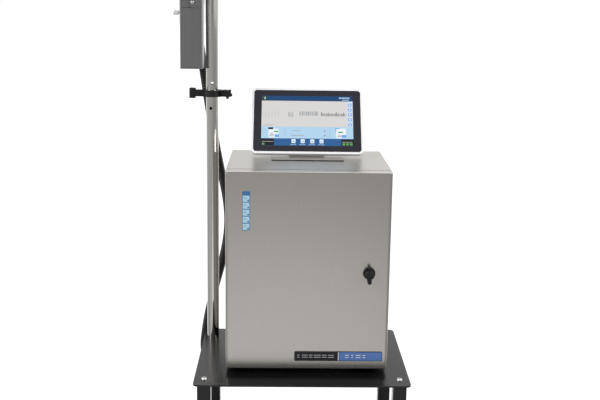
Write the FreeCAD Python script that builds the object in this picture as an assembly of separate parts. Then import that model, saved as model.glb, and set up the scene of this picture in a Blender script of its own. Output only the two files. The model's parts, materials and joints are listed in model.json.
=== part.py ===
import FreeCAD, Part
import math
import os

# Stand-mounted carton date coder: a steel cabinet and a tilting touch panel on a legged table,
# and a print head that rides on a round mast and is fed by one umbilical hose.
# Millimetres. +X right, +Y to the back, +Z up. The origin is the middle of the footprint's box,
# on the floor, and the operator stands at -Y.

V = FreeCAD.Vector
X_AXIS, Y_AXIS, Z_AXIS = V(1, 0, 0), V(0, 1, 0), V(0, 0, 1)

# ---- driving dimensions ----
plate_x, plate_y = 36.5, -28.0
plate_width, plate_depth, plate_thick = 526.0, 370.0, 4.0
plate_top = 600.0
plate_corner = 12.0
leg_side, leg_wall = 33.0, 2.0
leg_spread_x = 238.0
leg_front_y, leg_back_y = plate_y - 151.5, plate_y + 158.5
leg_bottom = 40.0
rail_bottom, rail_height, rail_thick = 150.0, 25.0, 20.0
foot_stud_r, foot_pad_r, foot_pad_height = 5.0, 20.0, 14.0

cab_x = plate_x + 11.0
cab_front = plate_y - 115.0
cab_width, cab_depth, cab_height = 400.0, 310.0, 495.0
cab_bottom = plate_top + 13.0
cab_sheet = 2.0
door_depth, door_sheet, door_gap = 32.0, 1.5, 3.0
door_lip = 20.0
flange_width = 24.0

mast_x, mast_y = plate_x - 238.0, plate_y + 128.0
mast_r, mast_wall, mast_length = 16.0, 2.0, 1000.0
running_gap = 0.05
body_gap = 0.3

collar_z, collar_height, collar_wall = 1269.0, 17.0, 9.0
collar_hinge_dx, collar_knob_dx = -53.0, 41.0

head_left, head_width, head_depth = plate_x - 317.5, 57.0, 55.0
head_front = plate_y + 98.0
head_bottom, head_top, head_panel_top = 1333.0, 1540.0, 1487.0
head_strap_x = head_left + 27.5
thumbscrew_z, bracket_bolt_z = 1476.0, (1501.0, 1530.0)
head_box_bottom, head_box_depth = 1496.0, 40.0
head_sheet, head_fold, head_lip = 2.5, 3.2, 3.6
block_bottom, block_height, block_depth = 1520.0, 50.0, 60.0
index_holes = ((1295.5, 5.0), (1230.5, -10.0))

panel_width, panel_height, panel_edge = 294.0, 190.0, 12.0
panel_glass_w, panel_glass_h = 282.0, 178.0
panel_screen_w, panel_screen_h = 241.0, 145.0
panel_corner, panel_glass_corner = 13.0, 8.0
panel_lean = 33.0
panel_front_y, panel_lift = cab_front + 199.0, 16.0
bracket_pad, bracket_base = 0.8, 1.2

hose_r = 12.0
hose_route = [
    (-247, 144, 1470), (-241, 144, 1415), (-228, 144, 1330), (-212, 152, 1210), (-191, 180, 1072),
    (-170, 190, 975), (-164, 191, 895), (-176, 192, 812), (-203, 191, 715), (-226, 191, 620),
    (-241, 206, 500), (-196, 230, 425), (-118, 244, 400), (-43, 240, 423), (4, 216, 490),
    (6, 196, 575), (6, 196, 650),
]

# ---- values worked out from the driving dimensions ----
plate_bottom = plate_top - plate_thick
cab_left, cab_right = cab_x - cab_width / 2, cab_x + cab_width / 2
cab_back, cab_top = cab_front + cab_depth, cab_bottom + cab_height
door_back = cab_front + door_depth
body_front = door_back + door_gap
inner_back = cab_back - cab_sheet
inner_floor = cab_bottom + cab_sheet
head_right, head_back = head_left + head_width, head_front + head_depth
block_left = head_right + 0.5
block_right = mast_x + 31.5
panel_bottom_z = cab_top + panel_lift


# ---- shape helpers ----
def box(x0, x1, y0, y1, z0, z1):
    return Part.makeBox(x1 - x0, y1 - y0, z1 - z0, V(x0, y0, z0))


def rod(x, y, z, radius, length, axis=Z_AXIS):
    return Part.makeCylinder(radius, length, V(x, y, z), axis)


def rounded(shape, radius, wanted):
    """Fillets the straight edges for which wanted(middle, direction) is true."""
    edges = []
    for edge in shape.Edges:
        ends = edge.Vertexes
        if len(ends) == 2 and edge.Curve.TypeId == "Part::GeomLine":
            start, stop = ends[0].Point, ends[1].Point
            if wanted((start + stop) * 0.5, (stop - start).normalize()):
                edges.append(edge)
    return shape.makeFillet(radius, edges)


def upright(middle, direction):
    return abs(direction.z) > 0.99


def along_y(middle, direction):
    return abs(direction.y) > 0.99


def prism(points, axis_offset):
    """Straight prism of a closed outline, pushed along axis_offset."""
    return Part.Face(Part.makePolygon(points + points[:1])).extrude(axis_offset)


def hexagon(x, y, z, across, height, axis=Z_AXIS):
    radius = across / math.sqrt(3)
    points = []
    for corner in range(6):
        angle = math.radians(60 * corner)
        if axis.z:
            points.append(V(x + radius * math.cos(angle), y + radius * math.sin(angle), z))
        else:
            points.append(V(x + radius * math.cos(angle), y, z + radius * math.sin(angle)))
    return prism(points, axis * height)


def square_tube(x0, x1, y0, y1, z0, z1, wall, axis):
    """Open-ended box tube whose length runs along axis."""
    cut = [wall, wall, wall]
    cut["xyz".index(axis)] = 0
    outer = box(x0, x1, y0, y1, z0, z1)
    return outer.cut(box(x0 + cut[0], x1 - cut[0], y0 + cut[1], y1 - cut[1], z0 + cut[2], z1 - cut[2]))


def lean_panel(shape):
    """Moves a piece drawn upright at the panel's lower front edge into the leaning position."""
    shape.rotate(V(0, 0, 0), X_AXIS, -panel_lean)
    shape.translate(V(cab_x, panel_front_y, panel_bottom_z))
    return shape


def panel_point(height, depth):
    """World y and z of a point given in the leaning panel's own height and depth."""
    lean = math.radians(panel_lean)
    y = panel_front_y + height * math.sin(lean) + depth * math.cos(lean)
    z = panel_bottom_z + height * math.cos(lean) - depth * math.sin(lean)
    return y, z


# ---- table ----
def leg_places():
    for end, leg_y in (("front", leg_front_y), ("back", leg_back_y)):
        for side, sign in (("left", -1), ("right", 1)):
            yield end + "_" + side, plate_x + sign * leg_spread_x, leg_y


def table_plate():
    half_w, half_d = plate_width / 2, plate_depth / 2
    plate = box(plate_x - half_w, plate_x + half_w, plate_y - half_d, plate_y + half_d, plate_bottom, plate_top)
    plate = rounded(plate, plate_corner, upright)
    for _, x, y in leg_places():
        plate = plate.cut(rod(x, y, plate_bottom - 1, 4.4, plate_thick + 2))
    return plate.cut(rod(mast_x, mast_y, plate_bottom - 1, 5.4, plate_thick + 2))


def leg(x, y):
    half = leg_side / 2
    tube = box(x - half, x + half, y - half, y + half, leg_bottom, plate_bottom)
    tube = rounded(tube, 2.5, upright)
    inner = half - leg_wall
    tube = tube.cut(box(x - inner, x + inner, y - inner, y + inner, leg_bottom + 8, plate_bottom - 8))
    tube = tube.cut(rod(x, y, leg_bottom - 1, foot_stud_r + 0.1, 12))
    return tube.cut(rod(x, y, plate_bottom - 9, 4.0, 10))


def side_rail(sign):
    x = plate_x + sign * leg_spread_x
    half = leg_side / 2
    y0, y1 = leg_front_y + half, leg_back_y - half
    top = rail_bottom + rail_height
    return square_tube(x - rail_thick / 2, x + rail_thick / 2, y0, y1, rail_bottom, top, leg_wall, "y")


def back_rail():
    half = leg_side / 2
    x0, x1 = plate_x - leg_spread_x + half, plate_x + leg_spread_x - half
    y0, y1 = leg_back_y - rail_thick / 2, leg_back_y + rail_thick / 2
    return square_tube(x0, x1, y0, y1, rail_bottom, rail_bottom + rail_height, leg_wall, "x")


def levelling_foot(x, y):
    pad = rod(x, y, 0, foot_pad_r, foot_pad_height - 4)
    cone = Part.makeCone(foot_pad_r, 10, 4, V(x, y, foot_pad_height - 4))
    stud = rod(x, y, foot_pad_height, foot_stud_r, 66)
    return pad.fuse([cone, stud]).removeSplitter()


def foot_nuts():
    nuts = []
    for _, x, y in leg_places():
        nut = hexagon(x, y, leg_bottom - 8, 17, 8)
        nuts.append(nut.cut(rod(x, y, leg_bottom - 9, foot_stud_r + 0.1, 10)))
    return Part.makeCompound(nuts)


def plate_bolts():
    bolts = []
    for _, x, y in leg_places():
        head = rod(x, y, plate_top, 7.5, 4.4)
        head = head.makeFillet(2.6, [edge for edge in head.Edges if edge.BoundBox.ZMin > plate_top + 4])
        socket = hexagon(x, y, plate_top + 1.8, 5, 4)
        bolts.append(head.fuse(rod(x, y, plate_bottom - 7.5, 3.9, plate_thick + 8)).cut(socket))
    return Part.makeCompound(bolts)


# ---- mast ----
def mast_tube():
    """Round tube with a tapped plug welded into its foot and two cross-drilled index holes."""
    tube = rod(mast_x, mast_y, plate_top, mast_r, mast_length)
    tube = tube.cut(rod(mast_x, mast_y, plate_top + 36, mast_r - mast_wall, mast_length))
    tube = tube.cut(rod(mast_x, mast_y, plate_top - 1, 4.9, 40))
    for height, turn in index_holes:
        way = V(math.sin(math.radians(turn)), -math.cos(math.radians(turn)), 0)
        start = V(mast_x, mast_y, height) - way * 20
        tube = tube.cut(Part.makeCylinder(4.0, 40, start, way))
    return tube


def mast_cap():
    top = plate_top + mast_length
    cap = rod(mast_x, mast_y, top, mast_r, 5)
    cap = cap.makeFillet(2.5, [edge for edge in cap.Edges if edge.BoundBox.ZMin > top + 4])
    return cap.fuse(rod(mast_x, mast_y, top - 20, mast_r - mast_wall - 0.1, 20))


def mast_bolt():
    washer = rod(mast_x, mast_y, plate_bottom - 2.5, 10.5, 2.5)
    head = hexagon(mast_x, mast_y, plate_bottom - 9, 16, 6.5)
    return head.fuse([washer, rod(mast_x, mast_y, plate_bottom - 3, 4.9, 30)])


# ---- hinged collar on the mast ----
def collar_jaw(front):
    """Half of the hinged collar: hinge barrel at the left, ear for the knob at the right.
    The back half carries the hinge pin."""
    sign = -1 if front else 1
    bottom = collar_z - collar_height / 2
    hinge_x, knob_x = mast_x + collar_hinge_dx, mast_x + collar_knob_dx
    ring = rod(mast_x, mast_y, bottom, mast_r + collar_wall, collar_height)
    ear = box(mast_x, knob_x + 8, mast_y - 11, mast_y + 11, bottom, bottom + collar_height)
    arm_half = 13.0
    outline = [V(hinge_x, mast_y - 8, collar_z - arm_half), V(hinge_x, mast_y - 8, collar_z + arm_half)]
    outline += [V(hinge_x + 6, mast_y - 8, collar_z + arm_half), V(hinge_x + 9, mast_y - 8, bottom + collar_height)]
    outline += [V(mast_x - 10, mast_y - 8, bottom + collar_height), V(mast_x - 10, mast_y - 8, bottom)]
    outline += [V(hinge_x + 9, mast_y - 8, bottom), V(hinge_x + 6, mast_y - 8, collar_z - arm_half)]
    arm = prism(outline, Y_AXIS * 16)
    jaw = ring.fuse([ear, arm]).removeSplitter()
    near, far = sorted((mast_y + sign * 0.4, mast_y + sign * 60))
    jaw = jaw.common(box(hinge_x - 20, knob_x + 20, near, far, bottom - 20, bottom + 40))
    jaw = jaw.cut(rod(hinge_x, mast_y, collar_z - 20, 7.5, 40))
    knuckle_low = collar_z - (arm_half if front else -0.2)
    knuckle = rod(hinge_x, mast_y, knuckle_low, 7.0, arm_half - 0.2)
    web_y = sorted((mast_y + sign * 1.5, mast_y + sign * 6))
    web = box(hinge_x, hinge_x + 10, web_y[0], web_y[1], knuckle_low, knuckle_low + arm_half - 0.2)
    jaw = jaw.fuse([knuckle, web]).removeSplitter()
    if front:
        jaw = jaw.cut(rod(hinge_x, mast_y, collar_z - 20, 2.5 + running_gap, 40))
    else:
        jaw = jaw.fuse(rod(hinge_x, mast_y, collar_z - arm_half - 1, 2.5, 2 * arm_half + 2))
    jaw = jaw.cut(rod(mast_x, mast_y, bottom - 1, mast_r + running_gap, collar_height + 2))
    return jaw.cut(rod(knob_x, mast_y - 30, collar_z, 3.05, 60, Y_AXIS))


def collar_knob():
    """Five-lobed knob with its stud, which runs through both ears."""
    x, z = mast_x + collar_knob_dx, collar_z
    y = mast_y - 11 - body_gap
    knob = rod(x, y, z, 9.0, 12, -Y_AXIS)
    for lobe in range(5):
        angle = math.radians(72 * lobe - 90)
        knob = knob.fuse(rod(x + 9.0 * math.cos(angle), y, z + 9.0 * math.sin(angle), 3.8, 12, -Y_AXIS))
    return knob.fuse(rod(x, y - 2, z, 3.0, 26, Y_AXIS)).removeSplitter()


# ---- print head and its carriage ----
def carriage_block():
    y0, y1 = head_front, head_front + block_depth
    block = box(block_left, block_right, y0, y1, block_bottom, block_bottom + block_height)
    block = rounded(block, 4.0, upright)
    top = block_bottom + block_height
    block = block.cut(rod(mast_x, mast_y, block_bottom - 1, mast_r + running_gap, block_height + 2))
    block = block.cut(box(mast_x, block_right + 1, mast_y - 1.5, mast_y + 1.5, block_bottom - 1, top + 1))
    for x, z in bracket_bolt_places()[2:]:
        block = block.cut(rod(x, y0 - 1, z, 2.5, 7, Y_AXIS))
    lever_x, lever_z = block_right - 7, block_bottom + block_height / 2
    block = block.cut(rod(lever_x, y0 - 1, lever_z, 4.05, block_depth + 2, Y_AXIS))
    return block.cut(box(lever_x - 8, lever_x + 8, y1 - 8, y1 + 1, lever_z - 8, lever_z + 8))


def carriage_lever():
    x, z = block_right - 7, block_bottom + block_height / 2
    y = head_front - body_gap
    hub = rod(x, y, z, 9, 16, -Y_AXIS)
    grip = Part.makeCone(5.5, 4.0, 58, V(x, y - 12, z), V(0.64, -0.16, 0.75).normalize())
    knob_end = Part.makeSphere(6.0, V(x, y - 12, z) + V(0.64, -0.16, 0.75).normalize() * 58)
    stud = rod(x, y - 4, z, 4.0, block_depth - 4, Y_AXIS)
    return hub.fuse([grip, knob_end, stud]).removeSplitter()


def head_bracket():
    """Bent-over plate that carries the head on the carriage block."""
    y0, y1 = head_front - 3, head_front
    low, top = head_panel_top + 0.5, block_bottom + block_height + 4
    outline = [V(head_strap_x, y0, low), V(head_right, y0, low), V(head_right, y0, block_bottom - 4)]
    outline += [V(mast_x + 12, y0, block_bottom - 4), V(mast_x + 12, y0, top), V(head_strap_x, y0, top)]
    plate = prism(outline, Y_AXIS * (y1 - y0))
    plate = rounded(plate, 5.0, along_y)
    for x, z in bracket_bolt_places():
        plate = plate.cut(rod(x, y0 - 1, z, 2.7, 6, Y_AXIS))
    return plate


def bracket_bolt_places():
    return [(head_strap_x + 5.5, bracket_bolt_z[0]), (head_right - 7, bracket_bolt_z[1]),
            (block_left + 6, block_bottom + 8), (block_left + 6, block_bottom + 42)]


def bracket_bolts():
    bolts = []
    for x, z in bracket_bolt_places():
        head = rod(x, head_front - 3, z, 4.6, 3.4, -Y_AXIS)
        head = head.makeFillet(1.4, [edge for edge in head.Edges if edge.BoundBox.YMax < head_front - 6])
        socket = hexagon(x, head_front - 8, z, 3, 3, Y_AXIS)
        bolts.append(head.fuse(rod(x, head_front - 4, z, 2.5, 9, Y_AXIS)).cut(socket))
    return Part.makeCompound(bolts)


def head_channel():
    """Folded channel with lips round its open front and a hole for the umbilical box behind it."""
    channel = box(head_left, head_right, head_front, head_back, head_bottom, head_top)
    channel = rounded(channel, head_fold, upright)
    inner = box(head_left + head_sheet, head_right - head_sheet, head_front + head_sheet, head_back - head_sheet,
                head_bottom + 3, head_top - 2)
    channel = channel.cut(rounded(inner, head_fold - head_sheet, upright))
    channel = channel.cut(box(head_left + head_lip, head_right - head_lip, head_front - 1, head_front + 4,
                              head_bottom + 3, head_top - 2))
    channel = channel.cut(box(head_left + 9, head_right - 9, head_back - 5, head_back + 1,
                              head_box_bottom + 4, head_top - 8))
    channel = channel.cut(box(head_left + 14, head_right - 14, head_front + 20, head_front + 34,
                              head_bottom - 1, head_bottom + 5))
    for x, z in bracket_bolt_places()[:2]:
        strap = box(x - 4, head_right - 2, head_front + 0.5, head_front + 9, z - 4, z + 4)
        channel = channel.fuse(strap).cut(rod(x, head_front - 1, z, 2.5, 10, Y_AXIS))
    side = rod(head_left - 1, head_front + 24, thumbscrew_z, 3.05, 8, X_AXIS)
    return channel.cut(side).removeSplitter()


def head_front_panel():
    side = head_lip + 0.2
    return box(head_left + side, head_right - side, head_front + 0.5, head_front + 2.3,
               head_bottom + 3.4, head_panel_top)


def head_filter():
    """Ribbed block that fills the channel above the front panel, beside the bracket's straps."""
    y0 = head_front + 0.8
    block = box(head_left + head_lip + 0.2, head_strap_x, y0, y0 + 34, head_panel_top + 1, head_top - 4)
    for groove in range(11):
        z = head_panel_top + 4 + groove * 4.2
        block = block.cut(box(head_left + 2, head_strap_x + 1, y0 - 1, y0 + 0.8, z, z + 1.6))
    return block


def print_module():
    """Piezo module, its nozzle face in the floor slot, with the driver board on top."""
    block = box(head_left + 9, head_right - 9, head_front + 12, head_front + 44,
                head_bottom + 3.5, head_bottom + 78)
    nozzles = box(head_left + 15, head_right - 15, head_front + 21, head_front + 33,
                  head_bottom - 0.5, head_bottom + 6)
    board_low = head_bottom + 72
    board = box(head_left + 9, head_right - 9, head_front + 40, head_front + 41.6, board_low, board_low + 76)
    chips = box(head_left + 14, head_left + 28, head_front + 36.5, head_front + 41, board_low + 20, board_low + 34)
    plug = box(head_left + 32, head_right - 12, head_front + 34, head_front + 41, board_low + 50, board_low + 58)
    return block.fuse([nozzles, board, chips, plug]).removeSplitter()


def head_umbilical_box():
    back = head_back + head_box_depth
    shell = box(head_left + 5, head_right - 2, head_back, back, head_box_bottom, head_top)
    shell = rounded(shell, 5.0, lambda middle, way: upright(middle, way) and middle.y > back - 10)
    hollow = box(head_left + 7.5, head_right - 4.5, head_back - 1, back - head_sheet,
                 head_box_bottom + head_sheet, head_top - head_sheet)
    route = gland_axis()
    return shell.cut(hollow).cut(Part.makeCylinder(9.0, 60, route[0], route[1] * -1))


def gland_axis():
    start, second = V(*hose_route[0]), V(*hose_route[1])
    return start, (second - start).normalize()


def head_gland():
    """Compression gland whose mouth takes the upper end of the umbilical."""
    mouth, way = gland_axis()
    up = way * -1
    nut = Part.makeCylinder(17.0, 14, mouth, up)
    seat = Part.makeCylinder(14.5, 13.6, mouth + up * 13, up)
    spigot = Part.makeCylinder(8.5, 34, mouth + up * 10, up)
    body = nut.fuse([seat, spigot])
    wall = box(head_left, head_right, head_back, head_back + head_box_depth,
               head_box_bottom - body_gap, head_box_bottom + head_sheet + 1.5)
    body = body.cut(wall.cut(Part.makeCylinder(8.6, 60, mouth, up)))
    return body.cut(Part.makeCylinder(6.0, 60, mouth + up * 2, up)).removeSplitter()


def head_thumbscrew():
    x, y, z = head_left, head_front + 24, thumbscrew_z
    knob = rod(x - 18.5, y, z, 6.8, 13.5, X_AXIS)
    knob = knob.makeFillet(1.5, [edge for edge in knob.Edges if edge.BoundBox.XMax < x - 18])
    neck = rod(x - 5.2, y, z, 4.2, 4.9, X_AXIS)
    return knob.fuse([neck, rod(x - 1, y, z, 3.0, 7, X_AXIS)]).removeSplitter()


# ---- umbilical ----
def umbilical_hose():
    points = [V(*point) for point in hose_route]
    edges = []
    start = points[0]
    for before, here, after in zip(points, points[1:], points[2:]):
        come, go = (here - before), (after - here)
        turn = come.getAngle(go)
        reach = 0.45 * min(come.Length, go.Length)
        radius = reach / math.tan(turn / 2)
        print("hose bend radius", round(radius), "turn", round(math.degrees(turn)))
        enter, leave = here - come.normalize() * reach, here + go.normalize() * reach
        bisector = (go - come).normalize()
        middle = here + bisector * (radius / math.cos(turn / 2) - radius)
        edges.append(Part.LineSegment(start, enter).toShape())
        edges.append(Part.Arc(enter, middle, leave).toShape())
        start = leave
    edges.append(Part.LineSegment(start, points[-1]).toShape())
    path = Part.Wire(edges)
    way = (points[1] - points[0]).normalize()
    section = Part.Wire(Part.makeCircle(hose_r, points[0], way))
    hose = path.makePipeShell([section], True, True, 2)
    print("hose length", round(path.Length), "volume ratio",
          round(hose.Volume / (math.pi * hose_r ** 2 * path.Length), 4))
    return hose


def cabinet_elbow():
    """Elbow gland on the cabinet's back; its mouth looks down and takes the hose's lower end."""
    x, y, z = hose_route[-1]
    bend = y - cab_back
    corner = V(x, cab_back, z + 14)
    middle = corner + V(0, bend * math.cos(math.pi / 4), bend * math.sin(math.pi / 4))
    arc = Part.Arc(V(x, y, z + 14), middle, V(x, cab_back, z + 14 + bend)).toShape()
    path = Part.Wire([Part.LineSegment(V(x, y, z + 4), V(x, y, z + 14)).toShape(), arc])
    section = Part.Wire(Part.makeCircle(14.0, V(x, y, z + 4), Z_AXIS))
    elbow = path.makePipeShell([section], True, True, 2)
    nut = rod(x, y, z, 17.0, 16)
    wall_z = z + 14 + bend
    flange = hexagon(x, cab_back, wall_z, 38, 7, Y_AXIS)
    neck = rod(x, cab_back - 12, wall_z, 11.0, 14, Y_AXIS)
    lock_nut = hexagon(x, inner_back - 6, wall_z, 34, 6, Y_AXIS)
    return elbow.fuse([nut, flange, neck, lock_nut]).removeSplitter()


# ---- cabinet ----
hinge_x, hinge_y = cab_left + 8.0, cab_front + 12.0
hinge_heights = (cab_bottom + 75.0, cab_top - 75.0)
lock_x, lock_z = plate_x + 160.0, 860.0
strip_low, strip_high = 964.5, 1060.5
badge_low, badge_high = 634.0, 658.5
fan_x, fan_z, fan_side = cab_right - 62.0, cab_top - 90.0, 80.0
inlet_x, inlet_z = cab_right - 50.0, cab_bottom + 80.0


def cabinet_body():
    shell = box(cab_left, cab_right, body_front, cab_back, cab_bottom, cab_top)
    shell = rounded(shell, 3.0, upright)
    shell = shell.cut(box(cab_left + cab_sheet, cab_right - cab_sheet, body_front + cab_sheet, inner_back,
                          inner_floor, cab_top - cab_sheet))
    mouth = flange_width
    shell = shell.cut(box(cab_left + mouth, cab_right - mouth, body_front - 1, body_front + cab_sheet + 1,
                          cab_bottom + mouth, cab_top - mouth))
    shell = shell.cut(rod(fan_x, inner_back - 1, fan_z, 36.0, 5, Y_AXIS))
    shell = shell.cut(box(inlet_x - 13.5, inlet_x + 13.5, inner_back - 1, cab_back + 1, inlet_z - 29, inlet_z + 29))
    elbow_x, elbow_y, elbow_z = hose_route[-1]
    shell = shell.cut(rod(elbow_x, inner_back - 1, elbow_z + 14 + elbow_y - cab_back, 11.05, 5, Y_AXIS))
    for slot in range(7):
        low = cab_bottom + 210 + slot * 14
        shell = shell.cut(box(fan_x - 34, fan_x + 34, inner_back - 1, cab_back + 1, low, low + 5))
    return shell


def hinge_zones(margin):
    return [box(cab_left - 1, hinge_x + 9.3, hinge_y - 7, body_front, height - 26 - margin, height + 26 + margin)
            for height in hinge_heights]


def door():
    """Folded tray with a return lip, which wraps the cabinet's whole front."""
    tray = box(cab_left, cab_right, cab_front, door_back, cab_bottom, cab_top)
    tray = rounded(tray, 7.0, lambda middle, way: upright(middle, way) and middle.y < cab_front + 1)
    tray = rounded(tray, 2.0, lambda middle, way: abs(way.x) > 0.99 and middle.y < cab_front + 1)
    sheet, lip = door_sheet, door_lip
    hollow = box(cab_left + sheet, cab_right - sheet, cab_front + sheet, door_back - sheet,
                 cab_bottom + sheet, cab_top - sheet)
    tray = tray.cut(rounded(hollow, 5.5, lambda middle, way: upright(middle, way) and middle.y < cab_front + 2))
    tray = tray.cut(box(cab_left + lip, cab_right - lip, door_back - sheet - 1, door_back + 1,
                        cab_bottom + lip, cab_top - lip))
    for zone in hinge_zones(1.5):
        tray = tray.cut(zone)
    lock_hole = rod(lock_x, cab_front - 1, lock_z, 10.2, 5, Y_AXIS)
    return tray.cut(lock_hole).removeSplitter()


def door_gasket():
    inset, width = 10.5, 9.0
    y0, y1 = door_back, body_front - body_gap
    outer = box(cab_left + inset, cab_right - inset, y0, y1, cab_bottom + inset, cab_top - inset)
    edge = inset + width
    gasket = outer.cut(box(cab_left + edge, cab_right - edge, y0 - 1, y1 + 1, cab_bottom + edge, cab_top - edge))
    for zone in hinge_zones(2.0):
        gasket = gasket.cut(zone)
    return gasket


def body_hinges():
    """Fixed knuckles with the goose-neck plates that carry them."""
    hinges = []
    for height in hinge_heights:
        knuckle = rod(hinge_x, hinge_y, height - 12, 4.0, 24)
        plate = box(hinge_x - 1.5, hinge_x + 1.5, hinge_y, body_front, height - 12, height + 12)
        foot = box(hinge_x - 1.5, hinge_x + 9, body_front - 2.4, body_front, height - 12, height + 12)
        hinge = knuckle.fuse([plate, foot]).removeSplitter()
        hinges.append(hinge.cut(rod(hinge_x, hinge_y, height - 30, 2.5 + running_gap, 60)))
    return Part.makeCompound(hinges)


def door_hinges():
    """Moving knuckles, their web to the door's skin and the pin."""
    hinges = []
    for height in hinge_heights:
        low = rod(hinge_x, hinge_y, height - 24, 4.0, 12 - body_gap)
        high = rod(hinge_x, hinge_y, height + 12 + body_gap, 4.0, 12 - body_gap)
        pin = rod(hinge_x, hinge_y, height - 24, 2.5, 48)
        parts = [high, pin]
        for start in (height - 24, height + 12 + body_gap):
            parts.append(box(hinge_x - 0.5, hinge_x + 4, cab_front + 2, hinge_y - 1, start, start + 12 - body_gap))
        leaf = box(hinge_x - 0.5, hinge_x + 22, cab_front + door_sheet, cab_front + door_sheet + 2,
                   height - 25, height + 25)
        hinge = low.fuse(parts + [leaf])
        clear = rod(hinge_x, hinge_y, height - 12, 4.0 + body_gap, 24)
        hinges.append(hinge.cut(clear).fuse(pin).removeSplitter())
    return Part.makeCompound(hinges)


def lock_body():
    plate = rod(lock_x, cab_front - 4, lock_z, 15.0, 4, Y_AXIS)
    plate = plate.makeFillet(1.5, [edge for edge in plate.Edges if edge.BoundBox.YMax < cab_front - 3])
    barrel = rod(lock_x, cab_front - 1, lock_z, 10.0, 24, Y_AXIS)
    nut = hexagon(lock_x, cab_front + door_sheet, lock_z, 27, 5, Y_AXIS)
    body = plate.fuse([barrel, nut])
    return body.cut(rod(lock_x, cab_front - 5, lock_z, 5.05, 40, Y_AXIS)).removeSplitter()


def lock_knob():
    """Quarter-turn knob with a tail that hangs down when the lock is open."""
    y0, y1 = cab_front - 22, cab_front - 4 - body_gap
    hub = rod(lock_x, y0, lock_z, 11.0, y1 - y0, Y_AXIS)
    hub = hub.makeFillet(2.0, [edge for edge in hub.Edges if edge.BoundBox.YMax < y0 + 1])
    tail = box(lock_x - 5, lock_x + 5, y0 + 3, y1 - 3, lock_z - 18, lock_z)
    tip = rod(lock_x, y0 + 3, lock_z - 18, 5.0, y1 - y0 - 6, Y_AXIS)
    nub = rod(lock_x, y0 + 6, lock_z + 15.5, 3.6, y1 - y0 - 9, Y_AXIS)
    neck = box(lock_x - 2.2, lock_x + 2.2, y0 + 6, y1 - 3, lock_z + 8, lock_z + 15)
    spindle = rod(lock_x, y1 - 2, lock_z, 5.0, 50.0, Y_AXIS)
    return hub.fuse([tail, tip, nub, neck, spindle]).removeSplitter()


def lock_cam():
    y0 = body_front + cab_sheet + 3
    cam = box(lock_x - 8, lock_x + 8, y0, y0 + 3, lock_z - 38, lock_z)
    cam = cam.fuse([rod(lock_x, y0, lock_z, 8.0, 3, Y_AXIS), rod(lock_x, y0, lock_z - 38, 8.0, 3, Y_AXIS)])
    return cam.cut(rod(lock_x, y0 - 1, lock_z, 5.0, 5, Y_AXIS)).removeSplitter()


def status_strip():
    strip = box(plate_x - 148, plate_x - 129.5, cab_front - 1, cab_front, strip_low, strip_high)
    return rounded(strip, 1.5, along_y)


def badge():
    plate = box(plate_x - 19, plate_x + 198, cab_front - 1.2, cab_front, badge_low, badge_high)
    return rounded(plate, 3.0, along_y)


def cabinet_feet():
    feet = []
    for x in (cab_left + 40, cab_right - 40):
        for y in (cab_front + 75, cab_back - 40):
            foot = Part.makeCone(14.0, 17.0, cab_bottom - plate_top, V(x, y, plate_top))
            feet.append(foot)
    return Part.makeCompound(feet)


# ---- inside the cabinet ----
board_front = inner_back - 15.0
plate_z, plate_post_z = (645.0, 1078.0), (660.0, 1063.0)
supply_z, supply_slot_z = (740.0, 900.0), (760.0, 860.0)
controller_z, controller_post_z, sink_z = (925.0, 1060.0), (932.0, 1053.0), (970.0, 1020.0)
pump_z = (650.0, 700.0)
elbow_wall_z = hose_route[-1][2] + 14 + hose_route[-1][1] - cab_back


def mounting_plate():
    plate = box(cab_x - 165, cab_x + 70, board_front, board_front + 2, *plate_z)
    for x in (cab_x - 150, cab_x + 55):
        for z in plate_post_z:
            plate = plate.fuse(rod(x, board_front + 1, z, 6.0, 14, Y_AXIS))
    elbow_x = hose_route[-1][0]
    return plate.cut(rod(elbow_x, board_front - 1, elbow_wall_z, 24.0, 5, Y_AXIS)).removeSplitter()


def power_supply():
    case = box(cab_x - 30, cab_x + 65, board_front - 48, board_front, *supply_z)
    for slot in range(6):
        x = cab_x - 20 + slot * 13
        case = case.cut(box(x, x + 6, board_front - 49, board_front - 46, *supply_slot_z))
    low = supply_z[0] + 2
    return case.fuse(box(cab_x - 26, cab_x + 61, board_front - 58, board_front - 47, low, low + 10))


def controller_board():
    low, high = board_front - 12, board_front - 10
    board = box(cab_x - 150, cab_x + 60, low, high, *controller_z)
    for x in (cab_x - 143, cab_x + 53):
        for z in controller_post_z:
            board = board.fuse(rod(x, low + 1, z, 4.0, 11, Y_AXIS))
    sink = box(cab_x - 70, cab_x - 20, low - 6, low, *sink_z)
    for fin in range(8):
        x = cab_x - 70 + fin * 6.9
        sink = sink.fuse(box(x, x + 1.7, low - 20, low - 5, *sink_z))
    plug_z = controller_z[0] + 3
    plugs = [box(cab_x - 140 + step * 24, cab_x - 122 + step * 24, low - 12, low, plug_z, plug_z + 12)
             for step in range(7)]
    return board.fuse([sink] + plugs).removeSplitter()


bottle_x, bottle_y = cab_x - 110.0, cab_front + 150.0


def ink_bottle():
    bottle = rod(bottle_x, bottle_y, inner_floor, 48.0, 150)
    bottle = bottle.makeFillet(8.0, [edge for edge in bottle.Edges if edge.BoundBox.DiagonalLength < 140])
    neck = rod(bottle_x, bottle_y, inner_floor + 148, 17.0, 22)
    hollow = rod(bottle_x, bottle_y, inner_floor + 3, 44.0, 140)
    mouth = rod(bottle_x, bottle_y, inner_floor + 140, 14.0, 40)
    return bottle.fuse(neck).removeSplitter().cut(hollow).cut(mouth)


def ink_cap():
    low = inner_floor + 156
    cap = rod(bottle_x, bottle_y, low, 21.0, 20)
    for rib in range(12):
        angle = math.radians(30 * rib)
        cap = cap.fuse(rod(bottle_x + 21 * math.cos(angle), bottle_y + 21 * math.sin(angle), low, 1.6, 18))
    return cap.cut(rod(bottle_x, bottle_y, low - 1, 17.0 + body_gap, 15)).removeSplitter()


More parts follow.
